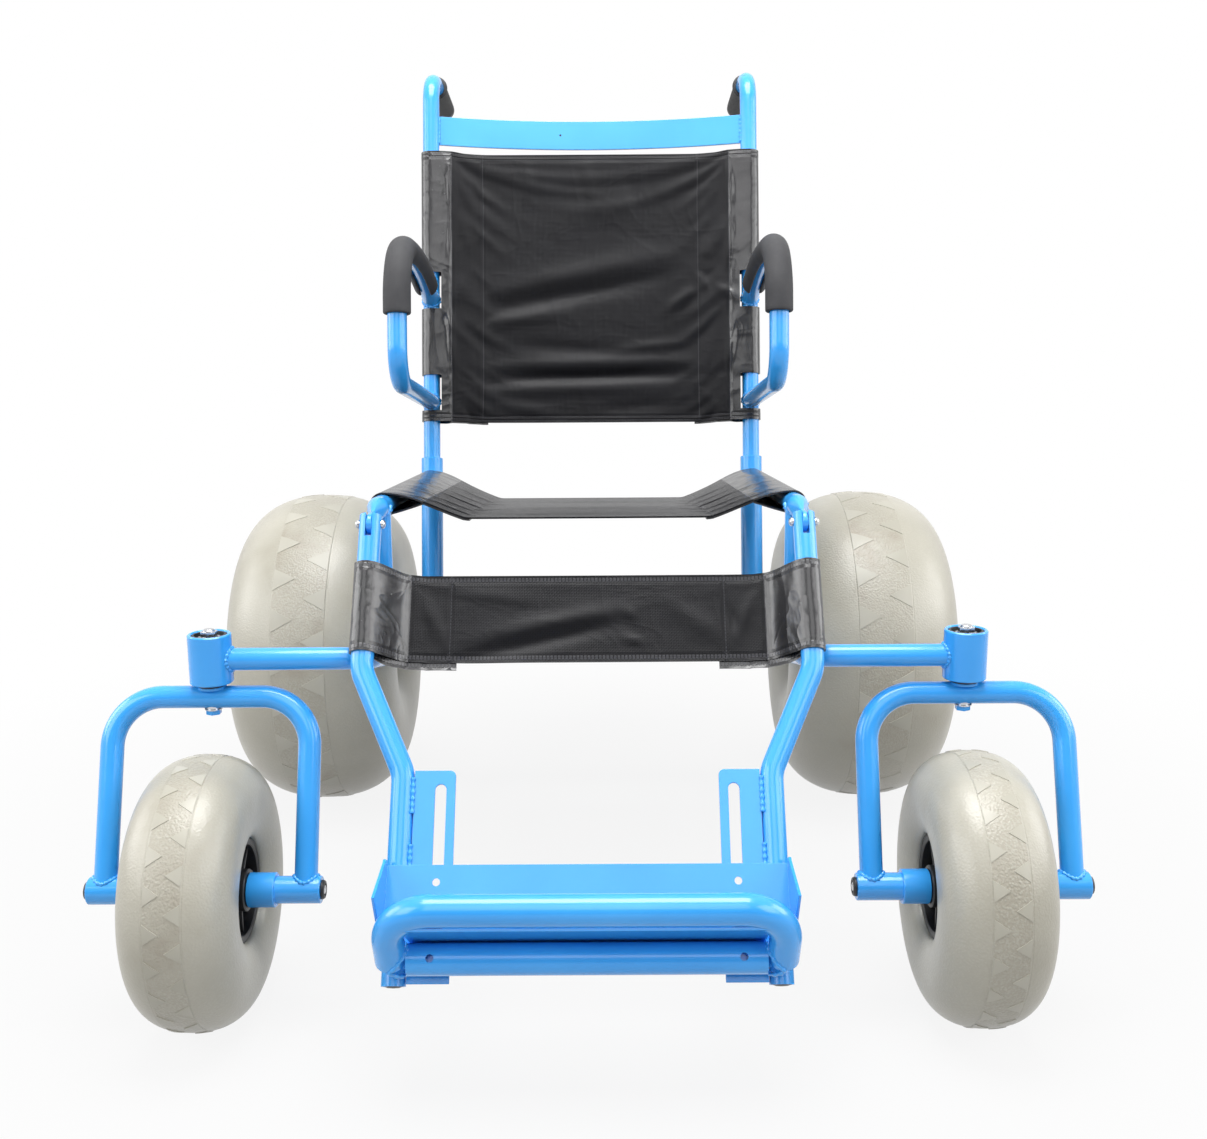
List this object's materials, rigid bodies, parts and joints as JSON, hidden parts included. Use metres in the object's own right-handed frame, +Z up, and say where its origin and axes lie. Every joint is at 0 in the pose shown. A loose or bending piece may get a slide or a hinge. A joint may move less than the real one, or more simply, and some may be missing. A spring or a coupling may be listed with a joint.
{
  "type": "beach wheelchair",
  "caption": "Wheelchair for sand with wide balloon tyres, a tubular frame, sling seat and back, loop armrests, swivel casters and a swinging leg rest with a foot tray",
  "frame": {"origin": "on the ground, midway between the sides and midway between the foot guard and the handles", "axes": "+X the sitter's left, +Y behind the chair, +Z up; the sitter faces -Y"},
  "size_m": [1.1096, 1.1784, 1.1473],
  "materials": {
    "blue_paint": "glossy blue powder coat",
    "sling_fabric": "black coated mesh cloth with stitched hems",
    "foam": "dark grey closed-cell foam",
    "grip_plastic": "soft black grip",
    "black_plastic": "moulded black plastic",
    "zinc_steel": "bright zinc",
    "tyre": "grey low-pressure balloon tyre, satin"
  },
  "bodies": {
    "frame": {"seat_rail_left": "blue_paint", "seat_rail_right": "blue_paint", "front_post_left": "blue_paint", "front_post_right": "blue_paint", "back_socket_left": "blue_paint", "back_socket_right": "blue_paint", "side_rail_left": "blue_paint", "side_rail_right": "blue_paint", "head_tube_left": "blue_paint", "head_tube_right": "blue_paint", "head_bush_left": "black_plastic", "head_bush_right": "black_plastic", "rear_axle_shaft_left": "zinc_steel", "rear_axle_shaft_right": "zinc_steel", "axle_collar_left": "zinc_steel", "axle_collar_right": "zinc_steel", "front_cross_tube": "blue_paint", "rear_axle_tube": "blue_paint", "seat_sling": "sling_fabric"},
    "backrest": {"back_cane_left": "blue_paint", "back_cane_right": "blue_paint", "handle_grip_left": "grip_plastic", "handle_grip_right": "grip_plastic", "armrest_left": "blue_paint", "armrest_right": "blue_paint", "arm_pad_left": "foam", "arm_pad_right": "foam", "back_crossbar": "blue_paint", "back_sling": "sling_fabric"},
    "leg_rest": {"leg_tube_left": "blue_paint", "leg_tube_right": "blue_paint", "slotted_plate_left": "blue_paint", "slotted_plate_right": "blue_paint", "leg_pivot_bolt_left": "zinc_steel", "leg_pivot_bolt_right": "zinc_steel", "calf_strap": "sling_fabric"},
    "foot_support": {"tray_clamp_left": "zinc_steel", "tray_clamp_right": "zinc_steel", "foot_tray": "blue_paint", "foot_guard_tube": "blue_paint", "foot_cross_tube": "blue_paint"},
    "rear_wheel_left": {"rear_tyre_left": "tyre", "rear_hub_left": "black_plastic", "rear_bush_left": "zinc_steel"},
    "caster_left": {"caster_fork_left": "blue_paint", "caster_stem_left": "zinc_steel", "caster_axle_left": "zinc_steel"},
    "front_wheel_left": {"front_tyre_left": "tyre", "front_hub_left": "black_plastic"},
    "clamp_knob_left": {"clamp_knob_left": "black_plastic"},
    "rear_wheel_right": {"rear_tyre_right": "tyre", "rear_hub_right": "black_plastic", "rear_bush_right": "zinc_steel"},
    "caster_right": {"caster_fork_right": "blue_paint", "caster_stem_right": "zinc_steel", "caster_axle_right": "zinc_steel"},
    "front_wheel_right": {"front_tyre_right": "tyre", "front_hub_right": "black_plastic"},
    "clamp_knob_right": {"clamp_knob_right": "black_plastic"}
  },
  "joints": [
    {"name": "backrest_lift", "type": "slide", "parent": "frame", "child": "backrest", "axis": [0, 0.2088, 0.978], "range_m": [0, 0.15]},
    {"name": "leg_rest_swing", "type": "hinge", "parent": "frame", "child": "leg_rest", "pos_m": [0, -0.2694, 0.536], "axis": [-1, 0, 0], "range_deg": [0, 60]},
    {"name": "foot_support_height", "type": "slide", "parent": "leg_rest", "child": "foot_support", "axis": [0, 0.515, 0.8572], "range_m": [-0.015, 0.1]},
    {"name": "rear_wheel_left_spin", "type": "hinge", "parent": "frame", "child": "rear_wheel_left", "pos_m": [0.4274, 0.3256, 0.245], "axis": [1, 0, 0], "continuous": true},
    {"name": "caster_left_swivel", "type": "hinge", "parent": "frame", "child": "caster_left", "pos_m": [0.422, -0.3244, 0.3495], "axis": [0, 0, 1], "continuous": true},
    {"name": "front_wheel_left_spin", "type": "hinge", "parent": "caster_left", "child": "front_wheel_left", "pos_m": [0.422, -0.3944, 0.149], "axis": [1, 0, 0], "continuous": true},
    {"name": "clamp_knob_left_turn", "type": "hinge", "parent": "frame", "child": "clamp_knob_left", "pos_m": [0.2302, 0.26952, 0.51604], "axis": [1, 0, 0], "continuous": true},
    {"name": "rear_wheel_right_spin", "type": "hinge", "parent": "frame", "child": "rear_wheel_right", "pos_m": [-0.4274, 0.3256, 0.245], "axis": [1, 0, 0], "continuous": true},
    {"name": "caster_right_swivel", "type": "hinge", "parent": "frame", "child": "caster_right", "pos_m": [-0.422, -0.3244, 0.3495], "axis": [0, 0, 1], "continuous": true},
    {"name": "front_wheel_right_spin", "type": "hinge", "parent": "caster_right", "child": "front_wheel_right", "pos_m": [-0.422, -0.3944, 0.149], "axis": [1, 0, 0], "continuous": true},
    {"name": "clamp_knob_right_turn", "type": "hinge", "parent": "frame", "child": "clamp_knob_right", "pos_m": [-0.2302, 0.26952, 0.51604], "axis": [1, 0, 0], "continuous": true}
  ]
}
